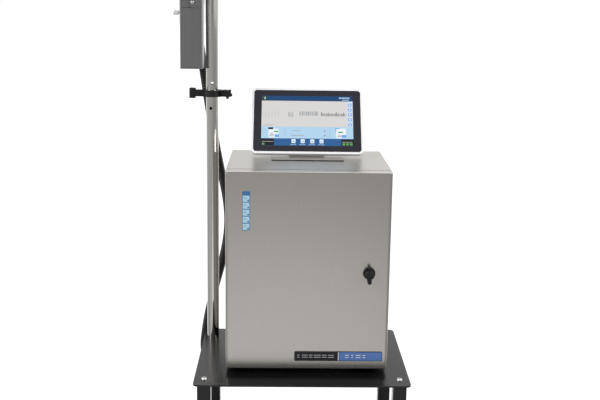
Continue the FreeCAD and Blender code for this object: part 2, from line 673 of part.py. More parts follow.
def ink_pump():
    body = box(cab_x - 20, cab_x + 34, board_front - 45, board_front, *pump_z)
    motor = rod(cab_x + 7, board_front - 45, sum(pump_z) / 2, 19.0, 55, -Y_AXIS)
    spouts = [rod(cab_x + dx, board_front - 20, pump_z[1] - 2, 4.0, 16) for dx in (-10, 20)]
    return body.fuse([motor] + spouts).removeSplitter()


def fan_frame():
    depth, half = 25.0, fan_side / 2
    frame = box(fan_x - half, fan_x + half, inner_back - depth, inner_back, fan_z - half, fan_z + half)
    frame = rounded(frame, 4.0, along_y)
    frame = frame.cut(rod(fan_x, inner_back - depth - 1, fan_z, 37.5, depth + 2, Y_AXIS))
    hub = rod(fan_x, inner_back - 5, fan_z, 15.0, 5, Y_AXIS)
    arms = [box(fan_x - 38.5, fan_x + 38.5, inner_back - 3, inner_back, fan_z - 2, fan_z + 2),
            box(fan_x - 2, fan_x + 2, inner_back - 3, inner_back, fan_z - 38.5, fan_z + 38.5)]
    pin = rod(fan_x, inner_back - 22, fan_z, 2.0, 18, Y_AXIS)
    return frame.fuse([hub, pin] + arms).removeSplitter()


def fan_rotor():
    y0 = inner_back - 23
    rotor = rod(fan_x, y0, fan_z, 15.0, 16, Y_AXIS)
    for blade in range(7):
        fin = box(fan_x + 12, fan_x + 35.5, y0 + 6, y0 + 8, fan_z - 8, fan_z + 8)
        fin.rotate(V(fan_x, y0 + 7, fan_z), X_AXIS, 32)
        fin.rotate(V(fan_x, y0, fan_z), Y_AXIS, blade * 360 / 7)
        rotor = rotor.fuse(fin)
    return rotor.cut(rod(fan_x, y0 + 1, fan_z, 2.0 + running_gap, 20, Y_AXIS)).removeSplitter()


def fan_guard():
    guard = None
    for radius in (14.0, 24.0, 34.0):
        ring = Part.makeTorus(radius, 1.2, V(fan_x, cab_back + 3, fan_z), Y_AXIS)
        guard = ring if guard is None else guard.fuse(ring)
    for turn in (45, 135):
        spoke = rod(fan_x - 52, cab_back + 3, fan_z, 1.6, 104, X_AXIS)
        spoke.rotate(V(fan_x, cab_back, fan_z), Y_AXIS, turn)
        guard = guard.fuse(spoke)
    for corner in (45, 135, 225, 315):
        angle = math.radians(corner)
        x, z = fan_x + 51 * math.cos(angle), fan_z + 51 * math.sin(angle)
        guard = guard.fuse(rod(x, cab_back, z, 4.0, 3.6, Y_AXIS))
    return guard


def mains_inlet():
    flange = box(inlet_x - 17, inlet_x + 17, cab_back, cab_back + 3, inlet_z - 33, inlet_z + 33)
    flange = rounded(flange, 3.0, along_y)
    body = box(inlet_x - 13, inlet_x + 13, cab_back - 32, cab_back + 1, inlet_z - 28, inlet_z + 28)
    socket = box(inlet_x - 11, inlet_x + 11, cab_back - 16, cab_back + 4, inlet_z - 24, inlet_z - 4)
    inlet = flange.fuse(body).cut(socket)
    for dx, dz in ((-6, -12), (6, -12), (0, -17)):
        inlet = inlet.fuse(box(inlet_x + dx - 1, inlet_x + dx + 1, cab_back - 17, cab_back - 3,
                               inlet_z + dz - 2, inlet_z + dz + 2))
    return inlet.cut(box(inlet_x - 10, inlet_x + 10, cab_back - 12, cab_back + 4, inlet_z + 3, inlet_z + 25))


def rocker_switch():
    """Rocker that pivots about X in the upper half of the mains inlet."""
    y, z = cab_back - 2, inlet_z + 14
    rocker = rod(inlet_x - 9, y, z, 8.0, 18, X_AXIS)
    rocker = rocker.common(box(inlet_x - 9, inlet_x + 9, y - 8, y + 12, z - 9.5, z + 9.5))
    rocker = rocker.fuse(box(inlet_x - 9, inlet_x + 9, y, y + 5, z - 8.6, z + 8.6))
    rocker.rotate(V(inlet_x, y, z), X_AXIS, -9)
    return rocker.removeSplitter()


# ---- touch panel ----
tilt_y, tilt_z = panel_point(80.0, 46.0)
ear_dx, ear_thick = 45.0, 4.0


def panel_bracket():
    low = cab_top + bracket_pad
    top = low + bracket_base
    base = box(cab_x - 92, cab_x + 92, plate_y + 36.5, cab_back - 12.5, low, top)
    bracket = rounded(base, 6.0, upright)
    for sign in (-1, 1):
        x0 = cab_x + sign * ear_dx - ear_thick / 2
        foot_z = top - 1
        outline = [V(x0, tilt_y - 10, foot_z), V(x0, tilt_y + 16, foot_z), V(x0, tilt_y + 10, tilt_z),
                   V(x0, tilt_y - 10, tilt_z)]
        ear = prism(outline, X_AXIS * ear_thick)
        ear = ear.fuse(rod(x0, tilt_y, tilt_z, 10.0, ear_thick, X_AXIS))
        bracket = bracket.fuse(ear)
    brace = box(cab_x - ear_dx, cab_x + ear_dx, tilt_y + 8, tilt_y + 11, top - 1, top + 27)
    bracket = bracket.fuse(brace)
    bracket = bracket.cut(rod(cab_x - 60, tilt_y, tilt_z, 4.0, 120, X_AXIS))
    return bracket.removeSplitter()


def bracket_pad_sheet():
    """Black rubber sheet between the cabinet's roof and the bracket's base."""
    pad = box(cab_x - 92.5, cab_x + 92.5, plate_y + 36, cab_back - 12, cab_top, cab_top + bracket_pad)
    return rounded(pad, 5.0, upright)


def tilt_pin():
    pin = rod(cab_x - 52, tilt_y, tilt_z, 4.0, 104, X_AXIS)
    heads = [rod(cab_x + start, tilt_y, tilt_z, 7.0, 4, X_AXIS) for start in (-56, 52)]
    return pin.fuse(heads).removeSplitter()


def panel_shell():
    """Light rim and tapered back of the touch panel, drawn upright and then leaned."""
    half, low, high = panel_width / 2, -6.0, panel_height - 6.0
    rim = box(-half, half, -0.5, panel_edge, low, high)
    rim = rounded(rim, panel_corner, along_y)
    back = box(-half + 30, half - 30, panel_edge - 1, 34, 26, high - 30)
    back = rounded(back, 8.0, along_y)
    shell = rim.fuse(back)
    glass_half = panel_glass_w / 2
    shell = shell.cut(rounded(box(-glass_half - 0.1, glass_half + 0.1, -2, 2.5, -0.1, panel_glass_h + 0.1),
                              panel_glass_corner + 0.1, along_y))
    shell = shell.cut(box(-glass_half + 8, glass_half - 8, 2, 9, 8, panel_glass_h - 8))
    for side in (-1, 1):
        x0 = side * 38 - 3
        lug = box(x0, x0 + 6, 30, 46, 71, 89)
        lug = lug.fuse(rod(x0, 46, 80, 9.0, 6, X_AXIS))
        shell = shell.fuse(lug)
    shell = shell.cut(rod(-60, 46, 80, 4.0 + running_gap, 120, X_AXIS))
    return lean_panel(shell.removeSplitter())


def panel_glass():
    half = panel_glass_w / 2
    glass = box(-half, half, 0, 2.4, 0, panel_glass_h)
    glass = rounded(glass, panel_glass_corner, along_y)
    screen_half = panel_screen_w / 2
    low = (panel_glass_h - panel_screen_h) / 2
    glass = glass.cut(box(-screen_half, screen_half, -1, 0.4, low, low + panel_screen_h))
    return lean_panel(glass)


def panel_display():
    half = panel_screen_w / 2
    low = (panel_glass_h - panel_screen_h) / 2
    return lean_panel(box(-half, half, 0.1, 0.4, low, low + panel_screen_h))


# ---- export ----
def export(name, shape):
    if not shape.isValid():
        print("not valid:", name)
    shape.exportStep("parts/" + name + ".step")


def main():
    os.makedirs("parts", exist_ok=True)
    for place, x, y in leg_places():
        export("leg_" + place, leg(x, y))
        export("foot_" + place, levelling_foot(x, y))
    export("side_rails", Part.makeCompound([side_rail(-1), side_rail(1)]))
    export("collar_front", collar_jaw(True))
    export("collar_back", collar_jaw(False))
    for make in (table_plate, back_rail, foot_nuts, plate_bolts, mast_tube, mast_cap, mast_bolt,
                 collar_knob, carriage_block, carriage_lever, head_bracket, bracket_bolts,
                 head_channel, head_front_panel, head_filter, print_module, head_umbilical_box,
                 head_gland, head_thumbscrew, umbilical_hose, cabinet_elbow, cabinet_body, door, door_gasket,
                 body_hinges, door_hinges, lock_body, lock_knob, lock_cam, status_strip, badge, cabinet_feet,
                 mounting_plate, power_supply, controller_board, ink_bottle, ink_cap, ink_pump, fan_frame,
                 fan_rotor, fan_guard, mains_inlet, rocker_switch, panel_bracket, bracket_pad_sheet, tilt_pin,
                 panel_shell, panel_glass, panel_display):
        export(make.__name__, make())


main()
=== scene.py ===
import json
import math

import bmesh
import bpy
from mathutils import Matrix, Vector


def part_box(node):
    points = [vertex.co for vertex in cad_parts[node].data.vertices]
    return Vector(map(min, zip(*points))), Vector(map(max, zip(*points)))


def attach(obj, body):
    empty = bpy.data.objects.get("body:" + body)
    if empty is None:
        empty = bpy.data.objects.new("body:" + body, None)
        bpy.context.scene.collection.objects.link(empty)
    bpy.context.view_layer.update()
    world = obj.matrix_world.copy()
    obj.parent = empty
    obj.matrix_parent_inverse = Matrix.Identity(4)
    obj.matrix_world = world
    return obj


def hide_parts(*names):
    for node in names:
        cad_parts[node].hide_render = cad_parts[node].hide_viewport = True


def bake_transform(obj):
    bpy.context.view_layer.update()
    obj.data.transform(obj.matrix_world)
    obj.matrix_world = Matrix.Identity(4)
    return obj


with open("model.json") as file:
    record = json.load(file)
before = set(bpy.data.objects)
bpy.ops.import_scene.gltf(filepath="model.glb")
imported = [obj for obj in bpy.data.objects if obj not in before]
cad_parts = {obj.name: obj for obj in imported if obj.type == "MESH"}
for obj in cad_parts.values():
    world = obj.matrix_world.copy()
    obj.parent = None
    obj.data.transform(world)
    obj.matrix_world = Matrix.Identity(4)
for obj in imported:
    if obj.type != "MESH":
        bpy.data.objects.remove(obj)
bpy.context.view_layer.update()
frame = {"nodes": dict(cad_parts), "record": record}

# Looks of the stand-mounted date coder. Metres, in the frame's own axes: +X right, +Y back, +Z up.

# ---- driving sizes ----
MM = 0.001
PANEL_LEAN = math.radians(33.0)
SCREEN_W, SCREEN_H = 241 * MM, 145 * MM
HOSE_DIAMETER = 24 * MM
HOSE_WRAP_PITCH = 28 * MM
HOSE_WRAP_BANDS = 4
# The umbilical's route from the head's gland to the elbow on the cabinet's back, as in the CAD part.
HOSE_ROUTE_MM = [
    (-247, 144, 1470), (-241, 144, 1415), (-228, 144, 1330), (-212, 152, 1210), (-191, 180, 1072),
    (-170, 190, 975), (-164, 191, 895), (-176, 192, 812), (-203, 191, 715), (-226, 191, 620),
    (-241, 206, 500), (-196, 230, 425), (-118, 244, 400), (-43, 240, 423), (4, 216, 490),
    (6, 196, 575), (6, 196, 650),
]
BOARD_FRONT_Y = 138
X_WAY, Y_WAY, Z_WAY = Vector((1, 0, 0)), Vector((0, 1, 0)), Vector((0, 0, 1))
PANEL_UP = Vector((0, math.sin(PANEL_LEAN), math.cos(PANEL_LEAN)))
PANEL_BACKWARDS = Vector((0, math.cos(PANEL_LEAN), -math.sin(PANEL_LEAN)))


def box_mm(node):
    """Lower and upper corner of a node's box, in millimetres."""
    return [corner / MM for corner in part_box(node)]


# ---- camera, floor and light ----
def make_camera():
    """Operator's view, from a little above the screen. Pitch is downwards from the level."""
    standpoint = (-0.01476, -2.17272, 1.50169)
    yaw, pitch, roll = -0.0196, 0.1821, 0.0139
    data = bpy.data.cameras.new("camera")
    data.lens = 52.31
    data.sensor_width = 36.0
    data.shift_y = -0.06
    camera = bpy.data.objects.new("camera", data)
    turn = Matrix.Rotation(yaw, 4, "Z") @ Matrix.Rotation(math.pi / 2 - pitch, 4, "X")
    camera.matrix_world = Matrix.Translation(standpoint) @ turn @ Matrix.Rotation(roll, 4, "Z")
    bpy.context.collection.objects.link(camera)
    bpy.context.scene.camera = camera


def softbox(name, place, target, width, height, watts):
    """Rectangular area light at place, aimed at target."""
    data = bpy.data.lights.new(name, "AREA")
    data.shape = "RECTANGLE"
    data.size = width
    data.size_y = height
    data.energy = watts
    light = bpy.data.objects.new(name, data)
    light.location = place
    light.rotation_euler = (Vector(target) - Vector(place)).to_track_quat("-Z", "Y").to_euler()
    bpy.context.collection.objects.link(light)


def make_studio():
    """Wide pale floor, three softboxes and the room's light."""
    mesh = bpy.data.meshes.new("floor")
    half = 60.0
    corners = [(-half, -half, 0), (half, -half, 0), (half, half, 0), (-half, half, 0)]
    mesh.from_pydata(corners, [], [(0, 1, 2, 3)])
    floor = bpy.data.objects.new("floor", mesh)
    bpy.context.collection.objects.link(floor)
    mesh.materials.append(floor_painted_light())
    softbox("top_softbox", (0.0, 0.9, 3.2), target=(0, 0, 0.9), width=3.0, height=1.6, watts=42)
    softbox("left_softbox", (-2.6, -1.5, 2.7), target=(0, 0, 1.0), width=1.4, height=1.6, watts=75)
    softbox("right_softbox", (2.7, -1.4, 2.7), target=(0, 0, 1.0), width=1.4, height=1.6, watts=60)
    studio_world()


# Brightness round the compass: it starts behind the camera and runs by the left wall, the backdrop
# and the right wall, as (share of the full turn, brightness).
ROOM_LEVELS = [
    (0.0, 0.32), (0.025, 0.42), (0.04, 0.85), (0.06, 0.55), (0.10, 0.62), (0.16, 0.92), (0.25, 0.95),
    (0.34, 0.95), (0.40, 1.0), (0.60, 1.0), (0.66, 0.85), (0.75, 0.78), (0.83, 0.92), (0.89, 0.62),
    (0.94, 0.26), (0.98, 0.32),
]
# The floor's painted light round the compass, laid out the same way; it is dimmer at the sides.
FLOOR_PAINTED_LIGHT = [
    (0.0, 0.34), (0.06, 0.38), (0.16, 0.40), (0.25, 0.42), (0.31, 0.55), (0.38, 1.0), (0.62, 1.0),
    (0.69, 0.42), (0.76, 0.26), (0.84, 0.22), (0.92, 0.26), (0.98, 0.34),
]


def map_range(nodes, links, source, low, high, to_low=0.0, to_high=1.0, smooth=False):
    """Stretches low..high of a source onto to_low..to_high."""
    node = nodes.new("ShaderNodeMapRange")
    if smooth:
        node.interpolation_type = "SMOOTHSTEP"
    for socket, value in (("From Min", low), ("From Max", high), ("To Min", to_low), ("To Max", to_high)):
        node.inputs[socket].default_value = value
    links.new(source, node.inputs[0])
    return node.outputs[0]


def math_node(nodes, links, operation, *sources):
    """One step of arithmetic on up to three sources."""
    node = nodes.new("ShaderNodeMath")
    node.operation = operation
    for number, source in enumerate(sources):
        links.new(source, node.inputs[number])
    return node.outputs[0]


def fill_ramp(ramp, levels):
    """Gives a colour ramp its grey stops, as (position, brightness); a new ramp has two already."""
    ramp.interpolation = "EASE"
    for place, _ in levels[2:]:
        ramp.elements.new(place)
    for element, (place, level) in zip(ramp.elements, levels):
        element.position = place
        element.color = (level, level, level, 1)


def room_ramp(nodes, links, vector, levels):
    """Brightness that changes with the compass direction of a vector, as panels and gaps in a studio do."""
    split = nodes.new("ShaderNodeSeparateXYZ")
    links.new(vector, split.inputs[0])
    angle = math_node(nodes, links, "ARCTAN2", split.outputs["X"], split.outputs["Y"])
    share = map_range(nodes, links, angle, -math.pi, math.pi)
    ramp = nodes.new("ShaderNodeValToRGB")
    links.new(share, ramp.inputs[0])
    fill_ramp(ramp.color_ramp, levels)
    return ramp.outputs[0], split


def studio_world():
    """Room whose walls are bright panels with darker gaps between them, which the steel mirrors."""
    world = bpy.data.worlds.new("studio")
    bpy.context.scene.world = world
    world.use_nodes = True
    nodes, links = world.node_tree.nodes, world.node_tree.links
    nodes.clear()
    where = nodes.new("ShaderNodeTexCoord")
    level, _ = room_ramp(nodes, links, where.outputs["Generated"], ROOM_LEVELS)
    background = nodes.new("ShaderNodeBackground")
    links.new(level, background.inputs["Color"])
    out = nodes.new("ShaderNodeOutputWorld")
    links.new(background.outputs[0], out.inputs[0])
    bpy.context.scene.view_settings.view_transform = "Standard"


# ---- materials ----
def paint(name, colour, rough, metal=0.0, grain=(90, 90, 90), tone=0.05, rough_swing=0.05, bump=0.04,
          depth=0.0002, level_gloss=1.0, **shader):
    """A procedural finish: stretched noise varies the colour and roughness and raises a fine grain.
    level_gloss scales the roughness of the faces that lie level."""
    made = bpy.data.materials.new(name)
    made.use_nodes = True
    nodes, links = made.node_tree.nodes, made.node_tree.links
    surface = nodes["Principled BSDF"]
    surface.inputs["Metallic"].default_value = metal
    for socket, value in shader.items():
        surface.inputs[socket.replace("_", " ")].default_value = value
    where = nodes.new("ShaderNodeTexCoord")
    stretch = nodes.new("ShaderNodeMapping")
    stretch.inputs["Scale"].default_value = grain
    links.new(where.outputs["Object"], stretch.inputs[0])
    noise = nodes.new("ShaderNodeTexNoise")
    noise.inputs["Scale"].default_value = 5.0
    noise.inputs["Detail"].default_value = 5.0
    links.new(stretch.outputs[0], noise.inputs["Vector"])
    ramp = nodes.new("ShaderNodeValToRGB")
    low, high = ramp.color_ramp.elements
    low.position, high.position = 0.3, 0.7
    low.color = (*(c * (1 - tone) for c in colour), 1)
    high.color = (*(min(1, c * (1 + tone)) for c in colour), 1)
    links.new(noise.outputs["Fac"], ramp.inputs[0])
    links.new(ramp.outputs[0], surface.inputs["Base Color"])
    smoothest, roughest = max(0.02, rough - rough_swing), rough + rough_swing
    gloss = map_range(nodes, links, noise.outputs["Fac"], 0.0, 1.0, smoothest, roughest)
    if level_gloss != 1.0:
        geometry = nodes.new("ShaderNodeNewGeometry")
        split = nodes.new("ShaderNodeSeparateXYZ")
        links.new(geometry.outputs["True Normal"], split.inputs[0])
        scale = map_range(nodes, links, split.outputs["Z"], 0.6, 0.95, 1.0, level_gloss)
        gloss = math_node(nodes, links, "MULTIPLY", gloss, scale)
    links.new(gloss, surface.inputs["Roughness"])
    raised = nodes.new("ShaderNodeBump")
    raised.inputs["Strength"].default_value = bump
    raised.inputs["Distance"].default_value = depth
    links.new(noise.outputs["Fac"], raised.inputs["Height"])
    links.new(raised.outputs[0], surface.inputs["Normal"])
    return made


def glowing(name, colour, glow):
    """A lit part of the display, under glass."""
    shaded = tuple(0.25 * c for c in colour)
    made = paint(name, shaded, 0.2, grain=(40, 40, 40), tone=0.03, rough_swing=0.02, bump=0.0)
    surface = made.node_tree.nodes["Principled BSDF"]
    surface.inputs["Emission Color"].default_value = (*colour, 1)
    surface.inputs["Emission Strength"].default_value = glow
    return made


def floor_painted_light():
    """Pale floor that glows with painted light following the room's brightness. Painted light lifts it to
    white behind the object, painted shade keeps it dim round its feet, and a pool of painted light lies in
    front, where the door's steel looks down at it."""
    made = paint("floor_painted_light", (0.11, 0.11, 0.11), 0.7, grain=(0.5, 0.5, 0.5), tone=0.004, bump=0.0)
    nodes, links = made.node_tree.nodes, made.node_tree.links
    where = nodes["Texture Coordinate"].outputs["Object"]
    level, split = room_ramp(nodes, links, where, FLOOR_PAINTED_LIGHT)
    narrow = nodes.new("ShaderNodeMapping")
    narrow.inputs["Scale"].default_value = (0.10, 1.0, 1.0)
    links.new(where, narrow.inputs[0])
    reach = nodes.new("ShaderNodeVectorMath")
    reach.operation = "LENGTH"
    links.new(narrow.outputs[0], reach.inputs[0])
    # Painted shade: the floor's glow dims towards the object's feet.
    painted_shade_rise = map_range(nodes, links, reach.outputs["Value"], 0.05, 1.0, 0.20, 1.0, smooth=True)
    depth = map_range(nodes, links, split.outputs["Y"], -6.0, 0.0)
    # Painted light: a bright pool on the floor in front, for the door's steel to mirror.
    painted_light_apron = nodes.new("ShaderNodeValToRGB")
    links.new(depth, painted_light_apron.inputs[0])
    fill_ramp(painted_light_apron.color_ramp, [(0.0, 0.0), (0.62, 0.5), (0.8, 0.5), (0.93, 0.0)])
    sideways = math_node(nodes, links, "ABSOLUTE", split.outputs["X"])
    within = map_range(nodes, links, sideways, 0.3, 1.3, 1.0, 0.0, smooth=True)
    painted_light_pool = math_node(nodes, links, "MULTIPLY", painted_light_apron.outputs[0], within)
    total = math_node(nodes, links, "MULTIPLY_ADD", level, painted_shade_rise, painted_light_pool)
    surface = nodes["Principled BSDF"]
    surface.inputs["Emission Color"].default_value = (1, 1, 1, 1)
    links.new(total, surface.inputs["Emission Strength"])
    return made


def make_materials():
    """One finish for each material slot of the frame, and two more for the nodes of OWN_FINISH."""
    upright_grain, sideways_grain = (260, 260, 4), (4, 260, 260)
    return {
        "table_black": paint("table_black", (0.004, 0.004, 0.0045), 0.24, grain=(160, 160, 160), tone=0.12,
                             rough_swing=0.05, bump=0.10, Specular_IOR_Level=0.30),
        "foot_black": paint("foot_black", (0.03, 0.03, 0.03), 0.6, bump=0.2),
        "fastener_steel": paint("fastener_steel", (0.62, 0.61, 0.59), 0.28, 1.0, grain=(300, 300, 300)),
        "mast_steel": paint("mast_steel", (0.56, 0.545, 0.52), 0.09, 1.0, grain=(120, 120, 2), tone=0.05,
                            rough_swing=0.03, bump=0.03),
        "black_plastic": paint("black_plastic", (0.006, 0.006, 0.0065), 0.42, grain=(220, 220, 220),
                               tone=0.2, bump=0.25, Specular_IOR_Level=0.3),
        "carriage_alloy": paint("carriage_alloy", (0.5, 0.5, 0.51), 0.45, 1.0, grain=(400, 400, 400),
                                bump=0.2),
        "head_steel": paint("head_steel", (0.23, 0.23, 0.234), 0.36, 1.0, upright_grain, tone=0.06,
                            bump=0.08),
        "channel_steel": paint("channel_steel", (0.25, 0.25, 0.255), 0.30, 1.0, upright_grain, tone=0.06,
                               bump=0.08),
        "thumbscrew_alloy": paint("thumbscrew_alloy", (0.80, 0.80, 0.79), 0.45, 0.6, grain=(300, 300, 300),
                                  tone=0.04, bump=0.1),
        "filter_dark": paint("filter_dark", (0.13, 0.13, 0.13), 0.5, 0.3, bump=0.3, tone=0.2),
        "hose_black": paint("hose_black", (0.009, 0.009, 0.0095), 0.34, grain=(140, 140, 140), tone=0.2,
                            bump=0.15, Specular_IOR_Level=0.4),
        "cabinet_steel": paint("cabinet_steel", (0.42, 0.40, 0.37), 0.25, 0.9, upright_grain, tone=0.045,
                               rough_swing=0.05, bump=0.12, level_gloss=1.3),
        "gasket_black": paint("gasket_black", (0.008, 0.008, 0.008), 0.8, grain=(300, 300, 300), bump=0.4),
        "zinc": paint("zinc", (0.55, 0.55, 0.53), 0.4, 1.0, grain=(70, 70, 70), tone=0.12, bump=0.1),
        "strip_blue": paint("strip_blue", (0.055, 0.16, 0.33), 0.3, tone=0.04),
        "badge_black": paint("badge_black", (0.008, 0.008, 0.010), 0.35, tone=0.1, bump=0.02,
                             Specular_IOR_Level=0.25),
        "supply_alloy": paint("supply_alloy", (0.62, 0.62, 0.62), 0.38, 1.0, sideways_grain),
        "board_green": paint("board_green", (0.02, 0.17, 0.06), 0.35, grain=(120, 500, 120), tone=0.25),
        "bottle_white": paint("bottle_white", (0.82, 0.82, 0.79), 0.4, tone=0.02, Subsurface_Weight=0.15),
        "cap_blue": paint("cap_blue", (0.03, 0.10, 0.42), 0.4, bump=0.1),
        "wire_chrome": paint("wire_chrome", (0.7, 0.7, 0.7), 0.12, 1.0),
        "rocker_red": paint("rocker_red", (0.5, 0.02, 0.02), 0.3, tone=0.03),
        "panel_white": paint("panel_white", (0.65, 0.655, 0.67), 0.36, grain=(250, 250, 250), tone=0.01,
                             bump=0.05),
        "panel_glass_black": paint("panel_glass_black", (0.018, 0.018, 0.024), 0.08, tone=0.05, bump=0.0,
                                   rough_swing=0.01),
        "display": glowing("display_page", (0.60, 0.59, 0.58), 0.8),
    }


# Nodes whose finish differs a little from the rest of their material slot.
OWN_FINISH = {"head_channel": "channel_steel", "head_thumbscrew": "thumbscrew_alloy"}


def dress_frame(materials):
    """Puts each node's finish on it."""
    slots = {entry["node"]: entry["material_slot"] for entry in frame["record"]["subparts"]}
    for node, thing in frame["nodes"].items():
        thing.data.materials.clear()
        thing.data.materials.append(materials[OWN_FINISH.get(node, slots[node])])


# ---- mesh helpers ----
def piece(name, shape, material, body, smooth=False):
    """Turns a bmesh into an object that rides on a body."""
    bmesh.ops.recalc_face_normals(shape, faces=shape.faces)
    mesh = bpy.data.meshes.new(name)
    shape.to_mesh(mesh)
    shape.free()
    mesh.materials.append(material)
    made = bpy.data.objects.new(name, mesh)
    bpy.context.collection.objects.link(made)
    if smooth:
        mesh.shade_smooth()
    if body:
        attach(made, body)
    return made


def add_slab(shape, outline, place, low, high):
    """Closed prism of a flat outline; place turns (u, v, w) into a point."""
    bottom = [shape.verts.new(place(u, v, low)) for u, v in outline]
    top = [shape.verts.new(place(u, v, high)) for u, v in outline]
    shape.faces.new(bottom)
    shape.faces.new(top)
    for i in range(len(outline)):
        j = (i + 1) % len(outline)
        shape.faces.new((bottom[i], bottom[j], top[j], top[i]))


def rounded_outline(u0, v0, u1, v1, radius, steps=4):
    """Corner-rounded rectangle, anticlockwise."""
    points = []
    corners = [(u1 - radius, v0 + radius, -90), (u1 - radius, v1 - radius, 0),
               (u0 + radius, v1 - radius, 90), (u0 + radius, v0 + radius, 180)]
    for u, v, start in corners:
        for step in range(steps + 1):
            angle = math.radians(start + 90 * step / steps)
            points.append((u + radius * math.cos(angle), v + radius * math.sin(angle)))
    return points


def tile_outline(u0, v0, u1, v1):
    """Rectangle with square corners, anticlockwise."""
    return [(u0, v0), (u1, v0), (u1, v1), (u0, v1)]


def skin(shape, rings):
    """Closed surface over a row of equal rings."""
    size = len(rings[0])
    for lower, upper in zip(rings, rings[1:]):
        for k in range(size):
            j = (k + 1) % size
            shape.faces.new((lower[k], lower[j], upper[j], upper[k]))
    shape.faces.new(rings[0])
    shape.faces.new(rings[-1])


def add_lathe(shape, profile, place, segments=24):
    """Closed solid of revolution. The profile is (radius, height) pairs from the bottom to the top."""
    rings = []
    for radius, height in profile:
        ring = []
        for k in range(segments):
            angle = 2 * math.pi * k / segments
            ring.append(shape.verts.new(place(radius * math.cos(angle), radius * math.sin(angle), height)))
        rings.append(ring)
    skin(shape, rings)


def axes_place(origin, u_way, v_way, w_way):
    """Place function that lays u, v and w along three directions from an origin."""
    return lambda u, v, w: origin + u_way * u + v_way * v + w_way * w


def facing(origin, out):
    """Place function whose w axis points along out and whose v axis is as upright as it can be."""
    out = Vector(out).normalized()
    side = Z_WAY.cross(out)
    side = side.normalized() if side.length > 0.01 else X_WAY
    return axes_place(Vector(origin), side, out.cross(side), out)


# ---- umbilical ----
def hose_line():
    """Evenly read points of the smooth line that the route's points pull into shape."""
    curve = bpy.data.curves.new("hose_route", "CURVE")
    curve.dimensions = "3D"
    curve.resolution_u = 40
    spline = curve.splines.new("NURBS")
    spline.points.add(len(HOSE_ROUTE_MM) - 1)
    for point, (x, y, z) in zip(spline.points, HOSE_ROUTE_MM):
        point.co = (x * MM, y * MM, z * MM, 1)
    spline.order_u = 3
    spline.use_endpoint_u = True
    holder = bpy.data.objects.new("hose_route", curve)
    mesh = bpy.data.meshes.new_from_object(holder)
    line = [vertex.co.copy() for vertex in mesh.vertices]
    bpy.data.objects.remove(holder)
    bpy.data.curves.remove(curve)
    bpy.data.meshes.remove(mesh)
    return line


def rails_along(line):
    """Distance, point, side and lift vector at each point of a line, with no twist between them."""
    rails = []
    side = None
    travelled = 0.0
    for i, point in enumerate(line):
        way = (line[min(i + 1, len(line) - 1)] - line[max(i - 1, 0)]).normalized()
        if side is None:
            side = way.orthogonal().normalized()
        side = (side - way * side.dot(way)).normalized()
        if i:
            travelled += (point - line[i - 1]).length
        rails.append((travelled, point, side, way.cross(side)))
    return rails


def tube_ring(shape, rail, radii, turned=0.0):
    """Ring of vertices across the line, one for each radius, starting turned round from its side."""
    point, side, lift = rail
    ring = []
    for k, radius in enumerate(radii):
        angle = turned + 2 * math.pi * k / len(radii)
        out = side * math.cos(angle) + lift * math.sin(angle)
        ring.append(shape.verts.new(point + out * radius))
    return ring


def rail_at(rails, distance):
    """The point, side and lift vector at a distance along the line."""
    low, high = 0, len(rails) - 1
    while high - low > 1:
        middle = (low + high) // 2
        if rails[middle][0] <= distance:
            low = middle
        else:
            high = middle
    first, second = rails[low], rails[high]
    share = min(1.0, max(0.0, (distance - first[0]) / (second[0] - first[0])))
    return [first[k].lerp(second[k], share) for k in range(1, 4)]


def make_umbilical(materials):
    """Bundle of tubes and leads inside its spiral wrap."""
    line = hose_line()
    rails = rails_along(line)
    length = rails[-1][0]
    shape = bmesh.new()
    add_wrapped_bundle(shape, rails, length)
    hose = piece("umbilical", shape, materials["hose_black"], None, smooth=True)
    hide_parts("umbilical_hose")
    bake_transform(hose)
    return rails, length


def add_wrapped_bundle(shape, rails, length):
    """Closed tube whose section shows the wrap's bands, with a shallow groove between neighbours.
    The section turns as it runs, which lays the bands in a left-handed spiral."""
    outer, groove_depth, groove_share = HOSE_DIAMETER / 2, 1.3 * MM, 0.16
    per_band, spacing = 9, 3.5 * MM
    band = []
    for k in range(per_band):
        edge = min(k / per_band, 1 - k / per_band)
        band.append(outer - groove_depth * max(0.0, 1 - edge / groove_share))
    count = int(length / spacing)
    rings = []
    for i in range(count + 1):
        distance = length * i / count
        turned = -2 * math.pi * distance / HOSE_WRAP_PITCH
        rings.append(tube_ring(shape, rail_at(rails, distance), band * HOSE_WRAP_BANDS, turned))
    skin(shape, rings)


def make_boots(material, rails, length):
    """Tapered, ribbed strain reliefs where the umbilical enters the head's gland and the elbow."""
    hose_radius, boot_length = HOSE_DIAMETER / 2, 50 * MM
    ribs, pitch, groove_depth, around = 6, 7, 1.4 * MM, 32
    thickest, taper, thinnest = 3.6, 0.45, 0.3 * MM
    profile = []
    for rib in range(ribs):
        at = pitch * rib * MM
        wide = hose_radius + (thickest - taper * rib) * MM
        neck = wide - groove_depth
        profile += [(at, wide), (at + 5 * MM, wide), (at + 6 * MM, neck), (at + pitch * MM, neck)]
    profile.append((boot_length, hose_radius + thinnest))
    for name, start, way, body in (("boot_head", 0.0, 1, "carriage"), ("boot_cabinet", length, -1, "root")):
        shape = bmesh.new()
        rings = [tube_ring(shape, rail_at(rails, start + way * along), [radius] * around)
                 for along, radius in profile]
        skin(shape, rings)
        piece(name, shape, material, body)


